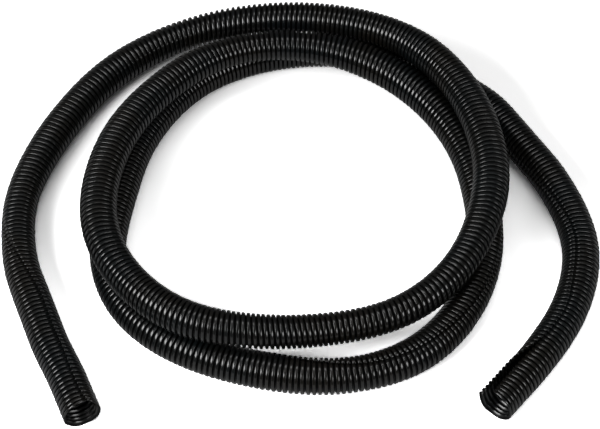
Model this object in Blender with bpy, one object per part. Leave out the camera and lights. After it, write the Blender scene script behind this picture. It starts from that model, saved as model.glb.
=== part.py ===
"""Corrugated vacuum hose, bare at both ends, laid down as a loose coil of almost three turns.

Metres, +Z up. The origin is on the floor, under the middle of the laid-out hose. The hose is
one moulded tube. It is built as three stretches that meet square, face to face: the run to
the left mouth, the coiled turns, and the run to the right mouth.
"""

import math

import bpy
import numpy as np

MM = 0.001

# Section of the hose
CREST_RADIUS = 19.0 * MM
RIB_HEIGHT = 2.1 * MM
WALL = 2.4 * MM
ROOT_RADIUS = CREST_RADIUS - RIB_HEIGHT
BORE_RADIUS = ROOT_RADIUS - WALL
RIB_PITCH = 22.4 * MM
BORE_STEP = 31.0 * MM
SIDE_COUNT = 8

# How it lies
FLAT_DEPTH = 0.1 * 2 * CREST_RADIUS
STACK_GAP = 0.6 * MM
MEETING_GAP = 0.3 * MM
FLOOR_LEVEL = CREST_RADIUS - FLAT_DEPTH
STACK_RISE = 2 * CREST_RADIUS + STACK_GAP
END_STRAIGHT = 2 * CREST_RADIUS
CUTTER_MARGIN = 10.0 * MM

# Left run, from its mouth to the coil; these places and the next are in millimetres, in plan
LEFT_MOUTH = (-207, -260)
LEFT_MOUTH_HEADING = 112.5
LEFT_POINTS = [(-235, -196)]
LEFT_MEETING = (-262, -131)
LEFT_MEETING_HEADING = 111.0

# First bend of the coil, round its left side
LEFT_ARC = [
    (-287, -48),
    (-289, 8),
    (-275, 67),
    (-248, 129),
]

# Turns of the coil, clockwise from the first station: radius in millimetres, and height as a
# share of the rise that lays one turn right on top of another
COIL_CENTRE = (0, 13)
FIRST_STATION = 140.0
STATION_STEP = -20.0
STATIONS = [
    (272, 0.06), (262, 0.3), (239, 0.79), (229, 1.0), (227, 1.03), (216, 1.03), (205, 1.03),
    (200, 1.03), (198, 1.03), (200, 0.9), (196, 0.66), (188, 0.52), (200, 0.82),
    (216, 1.03), (218, 1.06), (212, 1.03), (201, 0.98), (193, 1.0), (189, 1.03),
    (191, 1.03), (191, 0.97), (191, 0.8), (193, 0.5), (193, 0.2), (191, 0.04),
    (192, 0.0), (204, 0.0), (220, 0.0), (233, 0.0), (231, 0.0), (223, 0.0),
    (223, 0.0), (222, 0.0), (207, 0.0), (188, 0.0), (186, 0.0), (193, 0.0),
    (204, 0.0), (212, 0.0), (221, 0.0), (230, 0.0), (238, 0.0),
]

# Right run, from the coil to its mouth
RIGHT_MEETING = (236, 95)
RIGHT_MEETING_HEADING = -60.0
RIGHT_POINTS = [
    (267, 38),
    (283, -7),
    (290, -54),
    (283, -102),
    (265, -147),
    (240, -187),
]
RIGHT_MOUTH = (191, -250)
RIGHT_MOUTH_HEADING = -129.0

# Finish
BLACK_PLASTIC = (0.012, 0.012, 0.013, 1.0)
PLASTIC_ROUGHNESS = 0.34
SHARP_ANGLE = math.radians(50)

# A round bevel has four sides at level 0, and two more for each level
SIDES_AT_LEVEL_0 = 4

# Fineness of the route, and of the measure of its least gap
SPLINE_STEPS = 16
GAP_SAMPLE_STEP = 4.0 * MM
NEIGHBOUR_REACH = 5 * CREST_RADIUS


def clear_scene():
    for item in list(bpy.data.objects):
        bpy.data.objects.remove(item, do_unlink=True)


def plastic_material():
    material = bpy.data.materials.new("black_plastic")
    material.use_nodes = True
    shader = material.node_tree.nodes["Principled BSDF"]
    shader.inputs["Base Color"].default_value = BLACK_PLASTIC
    shader.inputs["Roughness"].default_value = PLASTIC_ROUGHNESS
    shader.inputs["Metallic"].default_value = 0.0
    return material


# ---------------------------------------------------------------- route

def on_floor(place):
    """A place in the plan, in millimetres, as a point on the axis of hose that lies flat."""
    return np.array([place[0] * MM, place[1] * MM, FLOOR_LEVEL])


def heading_vector(degrees):
    angle = math.radians(degrees)
    return np.array([math.cos(angle), math.sin(angle), 0.0])


def turn_points():
    """The turns' stations as points on the axis."""
    points = []
    for index, (radius, lift) in enumerate(STATIONS):
        angle = math.radians(FIRST_STATION + STATION_STEP * index)
        x = (COIL_CENTRE[0] + radius * math.cos(angle)) * MM
        y = (COIL_CENTRE[1] + radius * math.sin(angle)) * MM
        points.append(np.array([x, y, FLOOR_LEVEL + lift * STACK_RISE]))
    return points


def smooth_curve(points, first_heading, last_heading):
    """Cubic spline through the points, with its headings set at both ends."""
    points = np.array(points)
    spans = np.linalg.norm(np.diff(points, axis=0), axis=1)
    count = len(points)
    matrix = np.zeros((count, count))
    right_side = np.zeros((count, 3))
    matrix[0, 0] = 1.0
    matrix[-1, -1] = 1.0
    right_side[0] = first_heading
    right_side[-1] = last_heading
    for i in range(1, count - 1):
        before, after = spans[i - 1], spans[i]
        matrix[i, i - 1:i + 2] = (after, 2.0 * (before + after), before)
        step_in = (points[i] - points[i - 1]) / before
        step_out = (points[i + 1] - points[i]) / after
        right_side[i] = 3.0 * (after * step_in + before * step_out)
    slopes = np.linalg.solve(matrix, right_side)
    curve = [points[0]]
    for i in range(count - 1):
        for k in range(1, SPLINE_STEPS + 1):
            t = k / SPLINE_STEPS
            place = (2 * t**3 - 3 * t**2 + 1) * points[i]
            place = place + (t**3 - 2 * t**2 + t) * spans[i] * slopes[i]
            place = place + (3 * t**2 - 2 * t**3) * points[i + 1]
            place = place + (t**3 - t**2) * spans[i] * slopes[i + 1]
            curve.append(place)
    curve = np.array(curve)
    curve[:, 2] = np.maximum(curve[:, 2], FLOOR_LEVEL)
    return curve


def stretch(start, start_heading, points, end, end_heading):
    """Axis of one stretch: straight for a diameter at both ends, smooth between."""
    leave = heading_vector(start_heading)
    arrive = heading_vector(end_heading)
    first_bend = start + leave * END_STRAIGHT
    last_bend = end - arrive * END_STRAIGHT
    bends = smooth_curve([first_bend] + points + [last_bend], leave, arrive)
    return np.vstack([start, bends, end])


def distances_along(axis):
    steps = np.linalg.norm(np.diff(axis, axis=0), axis=1)
    return np.concatenate([[0.0], np.cumsum(steps)])


def points_along(axis, distances):
    """Points on the axis at the given distances from its start."""
    measured = distances_along(axis)
    return np.column_stack([np.interp(distances, measured, axis[:, i]) for i in range(3)])


def hose_route():
    """The three stretches of the axis, with half the meeting gap left out of each end."""
    left_mouth = on_floor(LEFT_MOUTH)
    left_meeting = on_floor(LEFT_MEETING)
    right_meeting = on_floor(RIGHT_MEETING)
    right_mouth = on_floor(RIGHT_MOUTH)
    left_gap = heading_vector(LEFT_MEETING_HEADING) * MEETING_GAP / 2
    right_gap = heading_vector(RIGHT_MEETING_HEADING) * MEETING_GAP / 2
    left_run = stretch(
        left_mouth, LEFT_MOUTH_HEADING, [on_floor(place) for place in LEFT_POINTS],
        left_meeting - left_gap, LEFT_MEETING_HEADING,
    )
    coil = stretch(
        left_meeting + left_gap, LEFT_MEETING_HEADING,
        [on_floor(place) for place in LEFT_ARC] + turn_points(),
        right_meeting - right_gap, RIGHT_MEETING_HEADING,
    )
    right_run = stretch(
        right_meeting + right_gap, RIGHT_MEETING_HEADING,
        [on_floor(place) for place in RIGHT_POINTS], right_mouth, RIGHT_MOUTH_HEADING,
    )
    return {"left_run": left_run, "coiled_turns": coil, "right_run": right_run}


def print_least_gap(route):
    """Length of the hose, and the least clear space between one turn and the next."""
    axis = np.vstack(list(route.values()))
    length = distances_along(axis)[-1]
    distances = np.linspace(0.0, length, round(length / GAP_SAMPLE_STEP))
    points = points_along(axis, distances)
    least = math.inf
    for i, place in enumerate(points):
        others = points[distances > distances[i] + NEIGHBOUR_REACH]
        if len(others):
            least = min(least, np.linalg.norm(others - place, axis=1).min())
    print(f"hose length {length:.3f} m")
    print(f"least gap between turns {(least - 2 * CREST_RADIUS) / MM:.2f} mm")


# ---------------------------------------------------------------- solids

def tube_mesh(name, points, radii):
    """Closed tube round the points, with a radius at each of them."""
    curve = bpy.data.curves.new(name, "CURVE")
    curve.dimensions = "3D"
    curve.twist_mode = "Z_UP"
    curve.bevel_depth = max(radii)
    curve.bevel_resolution = (SIDE_COUNT - SIDES_AT_LEVEL_0) // 2
    curve.use_fill_caps = True
    spline = curve.splines.new("POLY")
    spline.points.add(len(points) - 1)
    for knot, place, radius in zip(spline.points, points, radii):
        knot.co = (*place, 1.0)
        knot.radius = radius / curve.bevel_depth
    guide = bpy.data.objects.new(name + "_guide", curve)
    bpy.context.collection.objects.link(guide)
    graph = bpy.context.evaluated_depsgraph_get()
    mesh = bpy.data.meshes.new_from_object(guide.evaluated_get(graph))
    bpy.data.objects.remove(guide, do_unlink=True)
    return mesh


def add_cutter(name, mesh):
    cutter = bpy.data.objects.new(name, mesh)
    bpy.context.collection.objects.link(cutter)
    cutter.hide_render = True
    cutter.display_type = "WIRE"
    return cutter


def cut_with(body, cutter):
    modifier = body.modifiers.new(cutter.name, "BOOLEAN")
    modifier.operation = "DIFFERENCE"
    modifier.object = cutter


def floor_cutter(route):
    """Box under the floor, which cuts flat what the hose rests on."""
    axis = np.vstack(list(route.values()))
    reach = np.abs(axis[:, :2]).max(axis=0) + CREST_RADIUS + CUTTER_MARGIN
    depth = CREST_RADIUS + CUTTER_MARGIN
    corners = []
    for z in (-depth, 0.0):
        corners += [(-reach[0], -reach[1], z), (reach[0], -reach[1], z)]
        corners += [(reach[0], reach[1], z), (-reach[0], reach[1], z)]
    sides = [(i, (i + 1) % 4, (i + 1) % 4 + 4, i + 4) for i in range(4)]
    mesh = bpy.data.meshes.new("below_floor")
    mesh.from_pydata(corners, [], [(3, 2, 1, 0), (4, 5, 6, 7)] + sides)
    return add_cutter("below_floor", mesh)


def ribbed_tube(name, axis):
    """Outside of a stretch: crests and roots in turn, with a crest at both ends."""
    length = distances_along(axis)[-1]
    ribs = round(length / RIB_PITCH)
    distances = np.linspace(0.0, length, 2 * ribs + 1)
    radii = [ROOT_RADIUS if i % 2 else CREST_RADIUS for i in range(len(distances))]
    return tube_mesh(name, points_along(axis, distances), radii), ribs


def bore_cutter(name, axis):
    """Plain tube that runs out past both ends of a stretch."""
    length = distances_along(axis)[-1]
    distances = np.linspace(0.0, length, round(length / BORE_STEP) + 1)
    points = points_along(axis, distances)
    points[0] += (axis[0] - axis[1]) / np.linalg.norm(axis[0] - axis[1]) * CUTTER_MARGIN
    points[-1] += (axis[-1] - axis[-2]) / np.linalg.norm(axis[-1] - axis[-2]) * CUTTER_MARGIN
    mesh = tube_mesh(name + "_bore", points, [BORE_RADIUS] * len(points))
    return add_cutter(name + "_bore", mesh)


def add_stretch(name, axis, below_floor, material):
    """One node: ribbed outside, bored through, and flat where it rests."""
    mesh, ribs = ribbed_tube(name, axis)
    body = bpy.data.objects.new(name, mesh)
    bpy.context.collection.objects.link(body)
    cut_with(body, bore_cutter(name, axis))
    cut_with(body, below_floor)
    body.data.materials.clear()
    body.data.materials.append(material)
    body.data.shade_smooth()
    body.data.set_sharp_from_angle(angle=SHARP_ANGLE)
    return ribs


def main():
    clear_scene()
    material = plastic_material()
    route = hose_route()
    below_floor = floor_cutter(route)
    ribs = 0
    for name, axis in route.items():
        ribs += add_stretch(name, axis, below_floor, material)
    print(f"{ribs} ribs")
    print_least_gap(route)


main()
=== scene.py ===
"""Looks of the black corrugated hose: one split tube, ribbed all along, on a white floor.

Metres, +Z up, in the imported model's frame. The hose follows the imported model's own route. Its
ribs are at their real pitch, its thin wall follows them inside and out, and the slit that runs
along the whole tube is a real cut through that wall.
"""

import math

import bpy
import numpy as np
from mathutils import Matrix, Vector


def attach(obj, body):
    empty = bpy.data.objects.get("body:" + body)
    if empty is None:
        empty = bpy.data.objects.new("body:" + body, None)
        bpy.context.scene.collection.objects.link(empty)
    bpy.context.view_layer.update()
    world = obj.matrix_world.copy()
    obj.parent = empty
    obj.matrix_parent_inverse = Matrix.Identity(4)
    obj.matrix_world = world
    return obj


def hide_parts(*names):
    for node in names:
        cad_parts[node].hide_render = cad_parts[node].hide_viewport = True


MM = 0.001

# ---------------------------------------------------------------- sizes

# Section of the hose
CREST_RADIUS = 19.0 * MM
RIB_HEIGHT = 2.8 * MM
WALL = 0.6 * MM

# Half a rib outside, from the middle of its crest outwards: the end of its flat top, two
# places round its shoulder, its flank and the groove's floor, as distance and depth
OUTSIDE = [
    (1.05 * MM, 0.0),
    (1.35 * MM, 0.05 * RIB_HEIGHT),
    (1.6 * MM, 0.17 * RIB_HEIGHT),
    (1.8 * MM, 0.55 * RIB_HEIGHT),
    (2.2 * MM, RIB_HEIGHT),
]

# Half a rib inside, where the wall's other face follows it: the end of the hollow under the
# crest and the start of the ridge under the groove
INSIDE = [
    (0.9 * MM, WALL),
    (1.6 * MM, WALL + RIB_HEIGHT),
]

# The ribs' pitch along the hose, wider where it was pulled and closer where it was pushed:
# (millimetres from the left mouth, millimetres)
RIB_PITCH = [
    (0, 5.3), (240, 5.25), (330, 5.9), (660, 5.9), (760, 5.45), (940, 5.3), (1000, 5.95),
    (1130, 5.9), (1200, 5.5), (1330, 5.45), (1400, 5.2), (1540, 5.25), (1620, 5.95),
    (1960, 5.75), (2300, 5.6), (2450, 5.25), (2640, 5.45), (3500, 5.45), (3600, 5.3), (4000, 5.3),
]

# Route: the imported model's. Its solids are cut flat underneath by this much.
FLAT_DEPTH = 0.1 * 2 * CREST_RADIUS
STACK_GAP = 0.6 * MM
FLOOR_LEVEL = CREST_RADIUS - FLAT_DEPTH
STACK_RISE = 2 * CREST_RADIUS + STACK_GAP
END_STRAIGHT = 2 * CREST_RADIUS

# Places in the plan, in millimetres, and headings in degrees
LEFT_MOUTH = (-207, -260)
LEFT_MOUTH_HEADING = 112.5
LEFT_POINTS = [(-235, -196)]
LEFT_MEETING = (-262, -131)
LEFT_MEETING_HEADING = 111.0
LEFT_ARC = [
    (-287, -48),
    (-289, 8),
    (-275, 67),
    (-248, 129),
]
COIL_CENTRE = (0, 13)
FIRST_STATION = 140.0
STATION_STEP = -20.0
STATIONS = [
    (272, 0.06), (262, 0.3), (239, 0.79), (229, 1.0), (227, 1.03), (216, 1.03), (205, 1.03),
    (200, 1.03), (198, 1.03), (200, 0.9), (196, 0.66), (188, 0.52), (200, 0.82),
    (216, 1.03), (218, 1.06), (212, 1.03), (201, 0.98), (193, 1.0), (189, 1.03),
    (191, 1.03), (191, 0.97), (191, 0.8), (193, 0.5), (193, 0.2), (191, 0.04),
    (192, 0.0), (204, 0.0), (220, 0.0), (233, 0.0), (231, 0.0), (223, 0.0),
    (223, 0.0), (222, 0.0), (207, 0.0), (188, 0.0), (186, 0.0), (193, 0.0),
    (204, 0.0), (212, 0.0), (221, 0.0), (230, 0.0), (238, 0.0),
]
RIGHT_MEETING = (236, 95)
RIGHT_MEETING_HEADING = -60.0
RIGHT_POINTS = [
    (267, 38),
    (283, -7),
    (290, -54),
    (283, -102),
    (265, -147),
    (240, -187),
]
RIGHT_MOUTH = (191, -250)
RIGHT_MOUTH_HEADING = -129.0
SPLINE_STEPS = 16

# Girth along the hose, as a share of the crest radius: (millimetres from the left mouth,
# share). It is less where the slit's edges have drawn together.
GIRTH = [
    (0, 1.0), (160, 1.0), (230, 0.92), (290, 0.92), (380, 1.0), (500, 0.98), (576, 0.92),
    (830, 0.93), (870, 1.0), (1090, 1.0), (1152, 0.9), (1220, 0.87), (1312, 0.87), (1376, 0.9),
    (1472, 0.96), (1570, 0.97), (1640, 1.0), (1760, 1.0), (1824, 0.945), (1888, 0.92),
    (1920, 0.86), (1960, 0.86), (2016, 0.9), (2048, 0.95), (2080, 1.0), (2530, 1.0),
    (2592, 0.94), (2640, 0.98), (2690, 1.0), (3700, 1.0), (3780, 1.01), (3900, 1.01),
    (3960, 0.98), (4000, 0.97),
]

# The slit: (millimetres from the left mouth, degrees from the top of the hose, to the right
# of the way along it)
SLIT = [
    (0, 24), (15, 14), (38, 12), (54, 16), (78, 23), (118, 25), (144, 27), (160, 21), (174, 12),
    (190, 5), (205, -12), (235, -45), (290, -95), (420, -150), (800, -170), (1400, -165),
    (2000, -150), (2300, -95), (2420, -45), (2508, -18), (2558, -10), (2584, -8), (2640, 20),
    (2700, 70), (2900, 150), (3400, 150), (3620, 90), (3690, 50), (3722, 34), (3748, 22),
    (3790, 22), (3820, 16), (3850, 1), (3880, 2), (3905, 10), (3930, 20), (3950, 22), (3985, 16),
]
SLIT_GAP = 0.5 * MM

# How far the slit gapes where it runs out at the right mouth, in degrees: (millimetres from
# the left mouth, degrees). One edge leans outwards by this much for each degree.
GAPE = [(0, 0), (3910, 0), (3924, 24), (3938, 46), (3952, 52), (3985, 60), (4000, 60)]
LEAN_PER_DEGREE = 0.03 * MM

# Where the slit's two edges have slipped past each other: how far one rises over the other,
# how far round the wall gives way to it, and how far the ribs are out of step
EDGE_STEP = 0.4 * MM
EDGE_REACH = math.radians(40)
RIB_SHIFT = 1.1 * MM
RIB_SHIFT_SWING = 1.2 * MM
RIB_SHIFT_LENGTH = 260.0 * MM

# How unevenly the ribs were moulded: how far they stray along the hose and out from it, and
# how many radians their waves turn by from rib to rib
UNEVEN = 0.12 * MM
LEAN_TURN = 1.9
LEAN_TWIST = 1.1
SWELL_TURN = 2.4
SWELL_TWIST = 0.6
SWELL_FADE = 0.37

# The mouths were cut by hand: how far the cut strays, and how far along it is felt
CUT_WAVE = 1.0 * MM
CUT_REACH = 12.0 * MM

# The ribs stand upright where the hose climbs over another turn
LEVEL = (1.0, 1.0, 0.0)

# Over how much of the hose, to each side, its changes are eased and its directions softened
EASE_REACH = 12.0 * MM
SOFT_STEPS = 9

# Fineness of the mesh, and the most of a rib's pitch that half a rib takes up
AXIS_STEP = 1.0 * MM
OUTER_SIDES = 22
INNER_SIDES = 11
HALF_RIB_SHARE = 0.47

# Where the skin lies in the flat: the hose's length in this many rows, the rows' heights for
# each part of the skin, and the margins that are left between them
ROWS = 5
ROW_SPARE = 1.001
OUTER_ROW = 0.13
INNER_ROW = 0.05
LIP_ROW = 0.009
END_ROW = 0.004
LIP_BASE = ROWS * (OUTER_ROW + INNER_ROW)
END_BASE = LIP_BASE + 2 * ROWS * LIP_ROW
WALL_MARGIN = 0.02
LIP_MARGIN = 0.1

# Camera: the photograph's
LENS_MM = 124.2
SENSOR_MM = 36.0
CAMERA_PLACE = (2.5 * MM, -1392.5 * MM, 1668.2 * MM)
CAMERA_ELEVATION = 50.0

# Plastic: its blacks, from the bluest to the brownest, and the darker black painted into the
# grooves as painted shade;
# how rough it is on the crests, and how much rougher in the grooves, where its reflection is also
# dimmed as painted shade; and its fine grain
CREST_BLACKS = ((0.0036, 0.0046, 0.005), (0.0052, 0.0046, 0.0037))
GROOVE_PAINTED_SHADE_BLACK = (0.0008, 0.0008, 0.0008)
REFRACTION = 1.5
CREST_ROUGHNESS = (0.12, 0.22)
GROOVE_ROUGHNESS = 0.3
CREST_GLOSS = (1.0, 1.0, 1.0)
GROOVE_PAINTED_SHADE_GLOSS = (0.15, 0.15, 0.15)
GRAIN_STRENGTH = 0.12
GRAIN_DEPTH = 0.05 * MM

# Noise of the plastic, in features to the metre, with its detail
PATCHES = (14.0, 2.0)
SCUFFS = (420.0, 4.0)
GRAIN = (1400.0, 3.0)

# Floor: its grey as it lights the hose, as reflections show it, and as the camera sees it,
# where painted light makes it paler towards the front, between these two places
FLOOR_REACH = 6.0
FLOOR_GREY = 0.4
MIRRORED_GREY = 0.45
SEEN_AT_BACK = 1.9
SEEN_AT_FRONT = 3.0
PAINTED_LIGHT_FROM = 60.0 * MM
PAINTED_LIGHT_TO = -120.0 * MM

# Lamps: name, direction (to the right, away from the camera, up), distance, width, height,
# radiance
LAMPS = [
    ("key", (-0.68, -0.42, 0.60), 2.6, 2.1, 1.0, 11.5),
    ("fill", (0.64, -0.60, 0.48), 2.6, 1.5, 0.9, 6.5),
    ("overhead", (0.0, 0.1, 1.0), 2.6, 1.6, 0.6, 2.6),
    ("ceiling", (0.0, -0.1, 1.0), 3.2, 3.2, 2.8, 0.5),
]
WORLD_GREY = 0.08


# ---------------------------------------------------------------- route

def on_floor(place):
    return np.array([place[0] * MM, place[1] * MM, FLOOR_LEVEL])


def heading_vector(degrees):
    angle = math.radians(degrees)
    return np.array([math.cos(angle), math.sin(angle), 0.0])


def turn_points():
    points = []
    for index, (radius, lift) in enumerate(STATIONS):
        angle = math.radians(FIRST_STATION + STATION_STEP * index)
        x = (COIL_CENTRE[0] + radius * math.cos(angle)) * MM
        y = (COIL_CENTRE[1] + radius * math.sin(angle)) * MM
        points.append(np.array([x, y, FLOOR_LEVEL + lift * STACK_RISE]))
    return points


def smooth_curve(points, first_heading, last_heading):
    """Cubic spline through the points, with its headings set at both ends."""
    points = np.array(points)
    spans = np.linalg.norm(np.diff(points, axis=0), axis=1)
    count = len(points)
    matrix = np.zeros((count, count))
    right_side = np.zeros((count, 3))
    matrix[0, 0] = 1.0
    matrix[-1, -1] = 1.0
    right_side[0] = first_heading
    right_side[-1] = last_heading
    for i in range(1, count - 1):
        before, after = spans[i - 1], spans[i]
        matrix[i, i - 1:i + 2] = (after, 2.0 * (before + after), before)
        step_in = (points[i] - points[i - 1]) / before
        step_out = (points[i + 1] - points[i]) / after
        right_side[i] = 3.0 * (after * step_in + before * step_out)
    slopes = np.linalg.solve(matrix, right_side)
    curve = [points[0]]
    for i in range(count - 1):
        for k in range(1, SPLINE_STEPS + 1):
            t = k / SPLINE_STEPS
            place = (2 * t**3 - 3 * t**2 + 1) * points[i]
            place = place + (t**3 - 2 * t**2 + t) * spans[i] * slopes[i]
            place = place + (3 * t**2 - 2 * t**3) * points[i + 1]
            place = place + (t**3 - t**2) * spans[i] * slopes[i + 1]
            curve.append(place)
    curve = np.array(curve)
    curve[:, 2] = np.maximum(curve[:, 2], FLOOR_LEVEL)
    return curve


def stretch(start, start_heading, points, end, end_heading):
    leave = heading_vector(start_heading)
    arrive = heading_vector(end_heading)
    first_bend = start + leave * END_STRAIGHT
    last_bend = end - arrive * END_STRAIGHT
    bends = smooth_curve([first_bend] + points + [last_bend], leave, arrive)
    return np.vstack([start, bends, end])


def hose_axis():
    """The axis of the round hose from the left mouth to the right one, as points."""
    left = stretch(
        on_floor(LEFT_MOUTH), LEFT_MOUTH_HEADING, [on_floor(p) for p in LEFT_POINTS],
        on_floor(LEFT_MEETING), LEFT_MEETING_HEADING,
    )
    coil = stretch(
        on_floor(LEFT_MEETING), LEFT_MEETING_HEADING,
        [on_floor(p) for p in LEFT_ARC] + turn_points(),
        on_floor(RIGHT_MEETING), RIGHT_MEETING_HEADING,
    )
    right = stretch(
        on_floor(RIGHT_MEETING), RIGHT_MEETING_HEADING, [on_floor(p) for p in RIGHT_POINTS],
        on_floor(RIGHT_MOUTH), RIGHT_MOUTH_HEADING,
    )
    points = np.vstack([left, coil[1:], right[1:]])
    points[:, 2] += FLAT_DEPTH
    return points


def eased(stations, s):
    """Value at distances s from a list of (millimetres, value), without corners."""
    at = np.array([place for place, value in stations]) * MM
    values = np.array([value for place, value in stations], float)
    shares = (-1.0, -0.5, 0.0, 0.5, 1.0)
    return sum(np.interp(s + share * EASE_REACH, at, values) for share in shares) / len(shares)


class Axis:
    """The route, read at any distance from the left mouth."""

    def __init__(self, points):
        steps = np.linalg.norm(np.diff(points, axis=0), axis=1)
        measured = np.append(0.0, np.cumsum(steps))
        self.length = measured[-1]
        self.s = np.linspace(0.0, self.length, round(self.length / AXIS_STEP) + 1)
        self.girth = eased(GIRTH, self.s)
        ribs_in_step = AXIS_STEP / (eased(RIB_PITCH, self.s) * MM)
        self.rib = np.append(0.0, np.cumsum(ribs_in_step)[:-1])
        self.place = self.spread(measured, points, self.s) + self.settling()
        tangent = self.softened(np.gradient(self.place, self.s, axis=0)) * LEVEL
        self.tangent = tangent / np.linalg.norm(tangent, axis=1)[:, None]
        side = np.cross(self.tangent, (0.0, 0.0, 1.0))
        self.side = side / np.linalg.norm(side, axis=1)[:, None]
        self.up = np.cross(self.side, self.tangent)
        self.bend = self.softened(np.gradient(self.tangent, self.s, axis=0))

    def settling(self):
        """A thinner stretch lies lower, and as far back as keeps its line in the photograph."""
        drop = (1.0 - np.minimum(self.girth, 1.0)) * CREST_RADIUS
        back = drop / math.tan(math.radians(CAMERA_ELEVATION))
        return np.column_stack([np.zeros_like(drop), back, -drop])

    @staticmethod
    def spread(at, values, wanted):
        """Rows of values, known at some distances, at the wanted ones."""
        return np.column_stack([np.interp(wanted, at, column) for column in values.T])

    @staticmethod
    def softened(values):
        """Rows of values, each averaged with its neighbours."""
        window = np.hanning(2 * SOFT_STEPS + 3)[1:-1]
        padded = np.pad(values, ((SOFT_STEPS, SOFT_STEPS), (0, 0)), mode="edge")
        columns = [np.convolve(column, window / window.sum(), mode="valid") for column in padded.T]
        return np.column_stack(columns)

    def read(self, values, s):
        """Rows of values of the axis, at distances s of any shape."""
        return self.spread(self.s, values, np.ravel(s)).reshape(*np.shape(s), 3)


# ---------------------------------------------------------------- hose

class Wall:
    """One face of the hose's wall: its rings, from mouth to mouth, and their points."""

    def __init__(self, axis, half_rib, sides):
        rings = [(-distance, depth) for distance, depth in reversed(half_rib)] + half_rib
        ribs = int(axis.rib[-1])
        rows = [(rib, *ring) for rib in range(ribs + 1) for ring in rings]
        past_mouth = sum(depth > half_rib[0][1] for distance, depth in half_rib)
        rib, distance, depth = np.array(rows[past_mouth:-past_mouth]).T
        self.s = np.interp(rib * axis.rib[-1] / ribs, axis.rib, axis.s)
        self.rib = rib[:, None]
        self.distance = distance[:, None]
        self.depth = depth[:, None]
        self.turn = np.linspace(0.0, 1.0, sides + 1)
        self.along = np.clip(self.s + distance, 0.0, axis.length)

    def points(self, axis):
        """The points, ring by ring, from one edge of the slit to the other."""
        opened = eased(GAPE, self.s)[:, None]
        gape = np.radians(opened) + SLIT_GAP / CREST_RADIUS
        angle = np.radians(eased(SLIT, self.s))[:, None] + gape + self.turn * (2 * math.pi - gape)
        s = self.s[:, None] + self.from_middle(axis, angle) + self.slip(axis)
        s = s + self.cut(axis, angle)
        s = s + UNEVEN * np.sin(LEAN_TURN * self.rib) * np.cos(angle - LEAN_TWIST * self.rib)
        s = np.clip(s, 0.0, axis.length)
        swell = np.sin(SWELL_TURN * self.rib + SWELL_TWIST * angle) * np.sin(SWELL_FADE * self.rib)
        radius = CREST_RADIUS * np.interp(s, axis.s, axis.girth) - self.depth
        radius = radius + self.edge_rise(opened) + UNEVEN * swell
        out = axis.read(axis.up, s) * np.cos(angle)[..., None]
        out = out + axis.read(axis.side, s) * np.sin(angle)[..., None]
        places = (axis.read(axis.place, s) + out * radius[..., None]).reshape(-1, 3)
        places[:, 2] = np.maximum(places[:, 2], 0.0)
        return places

    def from_middle(self, axis, angle):
        """Distance from the rib's middle, kept to a rib's own width where the hose bends."""
        up, side, bend = [axis.read(way, self.s) for way in (axis.up, axis.side, axis.bend)]
        inward = (bend * up).sum(1)[:, None] * np.cos(angle)
        inward = inward + (bend * side).sum(1)[:, None] * np.sin(angle)
        ribs_in_step = np.interp(self.s, axis.s, np.gradient(axis.rib))[:, None]
        room = HALF_RIB_SHARE * AXIS_STEP / ribs_in_step
        return np.clip(self.distance / (1.0 - inward * CREST_RADIUS), -room, room)

    def to_mouth(self, axis):
        return np.minimum(self.s, axis.length - self.s)[:, None]

    def slip(self, axis):
        """How far the ribs are pushed along the hose, so that the slit's edges don't match."""
        swing = RIB_SHIFT_SWING * np.sin(2 * math.pi * self.s[:, None] / RIB_SHIFT_LENGTH)
        at_mouth = np.minimum(1.0, self.to_mouth(axis) / (2 * CUT_REACH))
        return (RIB_SHIFT + swing) * (self.turn - 0.5) * at_mouth

    def cut(self, axis, angle):
        """How far the wavy cuts at the mouths push the ribs back along the hose."""
        wave = CUT_WAVE * (np.sin(2 * angle + 1.0) + 0.5 * np.sin(5 * angle) + 1.5)
        near_mouth = np.maximum(0.0, 1.0 - self.to_mouth(axis) / CUT_REACH)
        inwards = np.where(self.s < axis.length / 2, 1.0, -1.0)[:, None]
        return wave * near_mouth * inwards

    def edge_rise(self, opened):
        """How far the wall rises or sinks towards the slit's two edges."""
        to_edge = np.minimum(self.turn, 1.0 - self.turn) * 2 * math.pi
        give = np.clip(1.0 - to_edge / EDGE_REACH, 0.0, 1.0) ** 2
        first_half = self.turn < 0.5
        step = np.where(first_half, 0.5, -0.5) * EDGE_STEP
        return (step + np.where(first_half, LEAN_PER_DEGREE * opened, 0.0)) * give


def zipped(outer, inner):
    """Triangles between two rows of places, as numbers in the two rows put end to end."""
    triangles = []
    i = 0
    k = 0
    while i < len(outer) - 1 or k < len(inner) - 1:
        more_outer = i < len(outer) - 1
        if more_outer and (k == len(inner) - 1 or outer[i + 1] <= inner[k + 1]):
            triangles.append((i, i + 1, len(outer) + k))
            i += 1
        else:
            triangles.append((i, len(outer) + k + 1, len(outer) + k))
            k += 1
    return np.array(triangles)


def in_rows(along, row_length):
    """Row of each face in the flat, and its corners' places along that row."""
    row = np.minimum((along.min(1) / row_length).astype(int), ROWS - 1)[:, None]
    return row, np.clip(along / row_length - row, 0.0, 1.0)


def wall_faces(numbers, wall, base, height, row_length):
    """Faces of one wall, with their places in the flat."""

    def corners(values):
        parts = [values[:-1, :-1], values[:-1, 1:], values[1:, 1:], values[1:, :-1]]
        return np.stack(parts, -1).reshape(-1, 4)

    along, turn = np.meshgrid(wall.along, wall.turn, indexing="ij")
    row, u = in_rows(corners(along), row_length)
    v = base + height * (row + WALL_MARGIN + (1 - 2 * WALL_MARGIN) * corners(turn))
    return corners(numbers), u, v


def lip_faces(edges, walls, lip, row_length):
    """Faces of one cut face of the slit, with their places in the flat."""
    steps = zipped(walls[0].along, walls[1].along)
    along = np.concatenate([wall.along for wall in walls])
    row, u = in_rows(along[steps], row_length)
    inner = steps >= len(edges[0])
    v = LIP_BASE + LIP_ROW * (lip * ROWS + row + LIP_MARGIN + (1 - 2 * LIP_MARGIN) * inner)
    return np.concatenate(edges)[steps], u, v


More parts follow.
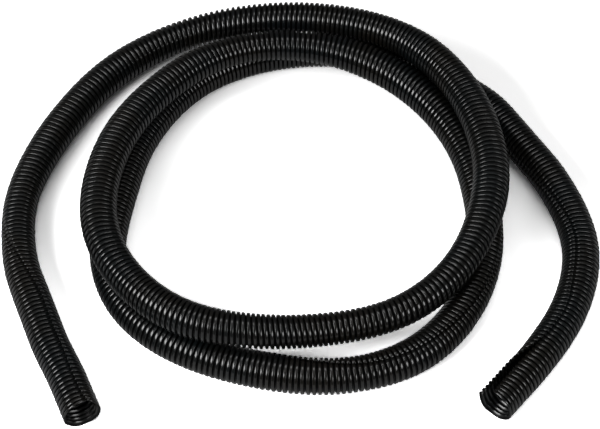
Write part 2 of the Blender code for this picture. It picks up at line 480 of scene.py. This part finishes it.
def end_faces(outer, inner, end):
    """Faces of one cut end, where each inner side meets two outer ones."""
    loops = np.stack([outer[:-1:2], outer[1::2], outer[2::2], inner[1:], inner[:-1]], -1)
    k = np.arange(INNER_SIDES)
    u = np.stack([k, k + 0.5, k + 1, k + 1, k], -1) / INNER_SIDES
    on_inner = np.isin(loops, inner)
    v = END_BASE + END_ROW * (end + LIP_MARGIN + (1 - 2 * LIP_MARGIN) * on_inner)
    return loops, u, v


def skin(points, parts):
    """Mesh from points and from parts, which are faces, u, v, and whether to turn them over."""
    mesh = bpy.data.meshes.new("hose")
    corners, sizes, flat = [], [], []
    for faces, u, v, flip in parts:
        order = slice(None, None, -1 if flip else 1)
        corners.append(faces[:, order].ravel())
        sizes.append(np.full(len(faces), faces.shape[1]))
        flat.append(np.stack([u, v], -1)[:, order].reshape(-1, 2))
    corners, sizes, flat = [np.concatenate(lists) for lists in (corners, sizes, flat)]
    starts = np.append(0, np.cumsum(sizes)[:-1])
    mesh.vertices.add(len(points))
    mesh.vertices.foreach_set("co", points.astype(np.float32).ravel())
    mesh.loops.add(len(corners))
    mesh.loops.foreach_set("vertex_index", corners.astype(np.int32))
    mesh.polygons.add(len(sizes))
    mesh.polygons.foreach_set("loop_start", starts.astype(np.int32))
    layer = mesh.uv_layers.new(name="OFBake")
    layer.uv.foreach_set("vector", flat.astype(np.float32).ravel())
    mesh.update(calc_edges=True)
    mesh.validate()
    return mesh


def mark_crests(mesh, outside, inside):
    """Attribute for the plastic: 1 on the crests of both walls, 0 down in their grooves, where the
    plastic gets painted shade.
    """
    outer = 1.0 - np.repeat(outside.depth, OUTER_SIDES + 1) / RIB_HEIGHT
    inner = np.repeat(inside.depth > WALL, INNER_SIDES + 1)
    crest = mesh.attributes.new("crest", "FLOAT", "POINT")
    crest.data.foreach_set("value", np.concatenate([outer, inner]).astype(np.float32))


def hose_mesh(axis):
    """Outside, inside, the slit's two cut faces and the two cut ends, as one closed skin."""
    outside = Wall(axis, OUTSIDE, OUTER_SIDES)
    inside = Wall(axis, INSIDE, INNER_SIDES)
    outer_points = outside.points(axis)
    points = np.concatenate([outer_points, inside.points(axis)])
    numbers = np.arange(len(points))
    outer = numbers[:len(outer_points)].reshape(-1, OUTER_SIDES + 1)
    inner = numbers[len(outer_points):].reshape(-1, INNER_SIDES + 1)
    row_length = axis.length / ROWS * ROW_SPARE
    inner_base = ROWS * OUTER_ROW
    parts = [
        (*wall_faces(outer, outside, 0.0, OUTER_ROW, row_length), False),
        (*wall_faces(inner, inside, inner_base, INNER_ROW, row_length), True),
    ]
    for lip, column in enumerate((0, -1)):
        edges = (outer[:, column], inner[:, column])
        parts.append((*lip_faces(edges, (outside, inside), lip, row_length), lip == 1))
    for end, ring in enumerate((0, -1)):
        parts.append((*end_faces(outer[ring], inner[ring], end), end == 0))
    mesh = skin(points, parts)
    mark_crests(mesh, outside, inside)
    return mesh


# ---------------------------------------------------------------- material

# Sockets of a Mix node that mixes colours
MIX_FIRST = 6
MIX_SECOND = 7
MIX_RESULT = 2


def grey(level):
    return (level, level, level, 1.0)


class Nodes:
    """A new material and its nodes."""

    def __init__(self, name):
        self.material = bpy.data.materials.new(name)
        self.material.use_nodes = True
        self.tree = self.material.node_tree

    def link(self, output, socket):
        self.tree.links.new(output, socket)

    def node(self, kind, **settings):
        made = self.tree.nodes.new("ShaderNode" + kind)
        for name, value in settings.items():
            setattr(made, name, value)
        return made

    def noise(self, place, scale, detail):
        made = self.node("TexNoise")
        made.inputs["Scale"].default_value = scale
        made.inputs["Detail"].default_value = detail
        self.link(place, made.inputs["Vector"])
        return made.outputs[0]

    def ranged(self, value, low, high, to_low=0.0, to_high=1.0):
        made = self.node("MapRange")
        made.inputs["From Min"].default_value = low
        made.inputs["From Max"].default_value = high
        made.inputs["To Min"].default_value = to_low
        made.inputs["To Max"].default_value = to_high
        self.link(value, made.inputs["Value"])
        return made.outputs["Result"]

    def mixed(self, factor, first, second):
        made = self.node("Mix", data_type="RGBA")
        self.link(factor, made.inputs["Factor"])
        for number, colour in ((MIX_FIRST, first), (MIX_SECOND, second)):
            if isinstance(colour, tuple):
                made.inputs[number].default_value = (*colour, 1.0)
            else:
                self.link(colour, made.inputs[number])
        return made.outputs[MIX_RESULT]

    def combined(self, operation, first, second):
        made = self.node("Math", operation=operation)
        self.link(first, made.inputs[0])
        self.link(second, made.inputs[1])
        return made.outputs[0]


def plastic():
    """Black moulded plastic: scuffed on the crests, rougher in the grooves, with painted shade
    that darkens the grooves' colour and reflection.
    """
    nodes = Nodes("black_plastic")
    shader = nodes.tree.nodes["Principled BSDF"]
    shader.inputs["IOR"].default_value = REFRACTION
    place = nodes.node("TexCoord").outputs["Object"]
    crest = nodes.node("Attribute", attribute_name="crest").outputs["Fac"]
    black = nodes.mixed(nodes.ranged(nodes.noise(place, *PATCHES), 0.4, 0.6), *CREST_BLACKS)
    # Painted shade: the grooves get a darker black than the crests
    colour = nodes.mixed(nodes.ranged(crest, 0.3, 0.95), GROOVE_PAINTED_SHADE_BLACK, black)
    nodes.link(colour, shader.inputs["Base Color"])
    # Painted shade: the grooves' reflection is dimmed by a grey specular tint
    painted_shade_gloss = nodes.mixed(nodes.ranged(crest, 0.1, 0.8), GROOVE_PAINTED_SHADE_GLOSS, CREST_GLOSS)
    nodes.link(painted_shade_gloss, shader.inputs["Specular Tint"])
    scuffs = nodes.ranged(nodes.noise(place, *SCUFFS), 0.35, 0.7, *CREST_ROUGHNESS)
    grooves = nodes.ranged(crest, 0.2, 0.9, GROOVE_ROUGHNESS, 0.0)
    nodes.link(nodes.combined("ADD", scuffs, grooves), shader.inputs["Roughness"])
    bump = nodes.node("Bump")
    bump.inputs["Strength"].default_value = GRAIN_STRENGTH
    bump.inputs["Distance"].default_value = GRAIN_DEPTH
    nodes.link(nodes.noise(place, *GRAIN), bump.inputs["Height"])
    nodes.link(bump.outputs["Normal"], shader.inputs["Normal"])
    return nodes.material


def white_floor():
    """Diffuse floor, which the camera sees as white, with painted light that makes it paler
    towards the front, and reflections as a little paler.
    """
    nodes = Nodes("white_floor")
    nodes.tree.nodes.clear()
    output = nodes.node("OutputMaterial")
    path = nodes.node("LightPath")
    lighting, mirrored, seen = [nodes.node("BsdfDiffuse") for use in range(3)]
    lighting.inputs["Color"].default_value = grey(FLOOR_GREY)
    mirrored.inputs["Color"].default_value = grey(MIRRORED_GREY)
    split = nodes.node("SeparateXYZ")
    nodes.link(nodes.node("TexCoord").outputs["Object"], split.inputs[0])
    # Painted light: the floor the camera sees is made paler towards the front, as if lit more
    # there
    painted_light_back_to_front = (PAINTED_LIGHT_FROM, PAINTED_LIGHT_TO, SEEN_AT_BACK, SEEN_AT_FRONT)
    nodes.link(nodes.ranged(split.outputs["Y"], *painted_light_back_to_front), seen.inputs["Color"])
    rays = [path.outputs["Is " + kind + " Ray"] for kind in ("Glossy", "Transmission", "Camera")]
    result = lighting
    for use, shader in ((nodes.combined("MAXIMUM", *rays[:2]), mirrored), (rays[2], seen)):
        mix = nodes.node("MixShader")
        nodes.link(use, mix.inputs["Fac"])
        nodes.link(result.outputs[0], mix.inputs[1])
        nodes.link(shader.outputs[0], mix.inputs[2])
        result = mix
    nodes.link(result.outputs[0], output.inputs["Surface"])
    return nodes.material


# ---------------------------------------------------------------- stage

def add_camera():
    data = bpy.data.cameras.new("camera")
    data.lens = LENS_MM
    data.sensor_width = SENSOR_MM
    data.sensor_fit = "HORIZONTAL"
    camera = bpy.data.objects.new("camera", data)
    bpy.context.scene.collection.objects.link(camera)
    camera.location = CAMERA_PLACE
    camera.rotation_euler = (math.radians(90.0 - CAMERA_ELEVATION), 0.0, 0.0)
    bpy.context.scene.camera = camera


def add_floor():
    mesh = bpy.data.meshes.new("floor")
    reach = FLOOR_REACH
    corners = [(-reach, -reach, 0), (reach, -reach, 0), (reach, reach, 0), (-reach, reach, 0)]
    mesh.from_pydata(corners, [], [(0, 1, 2, 3)])
    mesh.materials.append(white_floor())
    floor = bpy.data.objects.new("floor", mesh)
    bpy.context.scene.collection.objects.link(floor)


def add_lamps():
    for name, direction, distance, width, height, radiance in LAMPS:
        data = bpy.data.lights.new(name, "AREA")
        data.shape = "RECTANGLE"
        data.size = width
        data.size_y = height
        data.energy = radiance * math.pi * width * height
        lamp = bpy.data.objects.new(name, data)
        bpy.context.scene.collection.objects.link(lamp)
        toward = Vector(direction).normalized()
        lamp.location = toward * distance
        lamp.rotation_euler = (-toward).to_track_quat("-Z", "Y").to_euler()


def add_world():
    world = bpy.data.worlds.new("world")
    bpy.context.scene.world = world
    world.use_nodes = True
    background = world.node_tree.nodes["Background"]
    background.inputs["Color"].default_value = grey(WORLD_GREY)
    background.inputs["Strength"].default_value = 1.0


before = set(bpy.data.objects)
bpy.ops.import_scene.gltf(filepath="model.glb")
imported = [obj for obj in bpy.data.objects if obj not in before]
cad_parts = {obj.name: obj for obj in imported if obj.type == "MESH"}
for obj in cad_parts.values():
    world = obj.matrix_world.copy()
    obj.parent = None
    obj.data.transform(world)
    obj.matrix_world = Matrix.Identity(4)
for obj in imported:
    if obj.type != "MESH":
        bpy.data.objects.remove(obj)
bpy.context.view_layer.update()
scene = bpy.context.scene
scene.view_settings.view_transform = "Standard"
add_camera()
axis = Axis(hose_axis())
mesh = hose_mesh(axis)
mesh.shade_smooth()
hose = bpy.data.objects.new("hose", mesh)
scene.collection.objects.link(hose)
mesh.materials.append(plastic())
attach(hose, "root")
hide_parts("left_run", "coiled_turns", "right_run")
add_floor()
add_lamps()
add_world()
